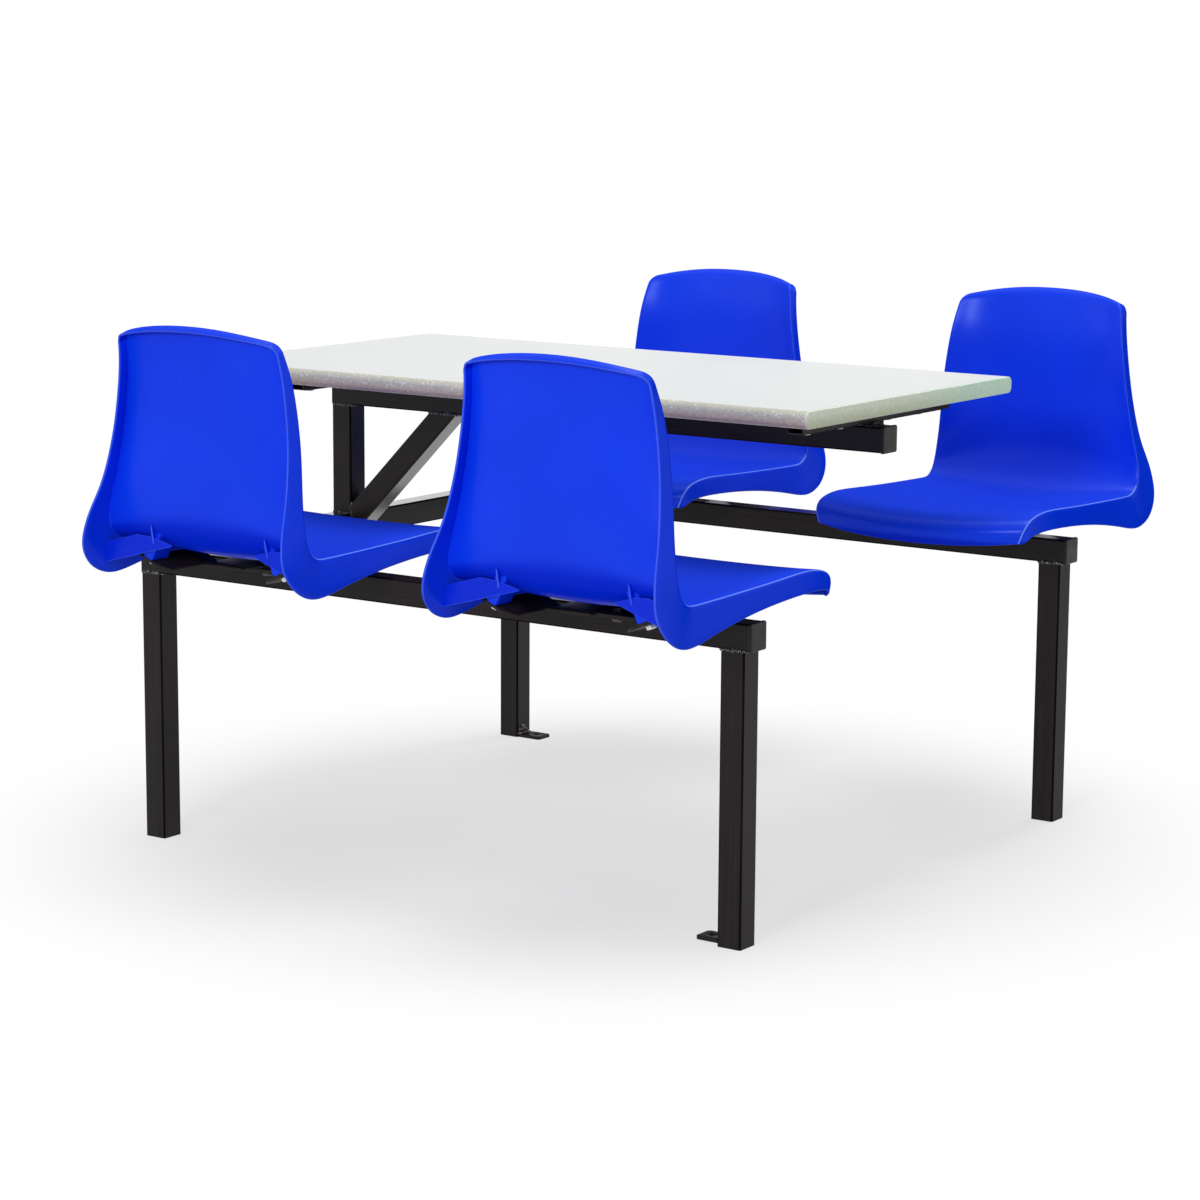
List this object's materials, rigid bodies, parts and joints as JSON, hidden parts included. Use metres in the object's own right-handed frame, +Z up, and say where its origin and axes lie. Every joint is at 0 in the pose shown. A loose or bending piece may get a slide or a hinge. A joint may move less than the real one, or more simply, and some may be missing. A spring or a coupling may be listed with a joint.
{
  "type": "canteen table unit",
  "caption": "Canteen table with attached fixed moulded plastic seats on a welded black tube frame with a cantilevered table top.",
  "frame": {"origin": "on the floor, midway between the four legs", "axes": "+X along the seat rails towards the free end of the table, +Y across the table from the near seats to the far seats, +Z up"},
  "size_m": [1.1559, 1.432, 0.8189],
  "materials": {
    "black_steel": "satin",
    "black_plastic": "matte",
    "board": "raw",
    "pale_laminate": "satin",
    "edging": "textured",
    "zinc_steel": "zinc plated",
    "blue_plastic": "satin"
  },
  "bodies": {
    "root": {"near_seat_rail": "black_steel", "far_seat_rail": "black_steel", "near_left_leg": "black_steel", "near_right_leg": "black_steel", "far_left_leg": "black_steel", "far_right_leg": "black_steel", "cross_beam": "black_steel", "table_post": "black_steel", "table_beam": "black_steel", "diagonal_brace": "black_steel", "near_floor_lug": "black_steel", "far_floor_lug": "black_steel", "left_bearer": "black_steel", "right_bearer": "black_steel", "bearer_blocks": "black_steel", "leg_welds": "black_steel", "cross_beam_welds": "black_steel", "post_welds": "black_steel", "brace_welds": "black_steel", "floor_lug_welds": "black_steel", "bearer_welds": "black_steel", "seat_pad_welds": "black_steel", "near_rail_end_cap": "black_plastic", "far_rail_end_cap": "black_plastic", "table_beam_end_cap": "black_plastic", "flush_end_plugs": "black_plastic", "table_top_board": "board", "table_top_laminate": "pale_laminate", "table_underside_sheet": "pale_laminate", "table_left_edging": "edging", "table_right_edging": "edging", "bearer_screws": "zinc_steel", "seat_bolts": "zinc_steel", "seat_washers": "zinc_steel", "pad_bolts": "zinc_steel", "pad_nuts": "zinc_steel", "near_left_seat_shell": "blue_plastic", "near_left_seat_pad": "black_steel", "near_left_seat_bracket": "black_steel", "near_right_seat_shell": "blue_plastic", "near_right_seat_pad": "black_steel", "near_right_seat_bracket": "black_steel", "far_left_seat_shell": "blue_plastic", "far_left_seat_pad": "black_steel", "far_left_seat_bracket": "black_steel", "far_right_seat_shell": "blue_plastic", "far_right_seat_pad": "black_steel", "far_right_seat_bracket": "black_steel"}
  },
  "joints": []
}
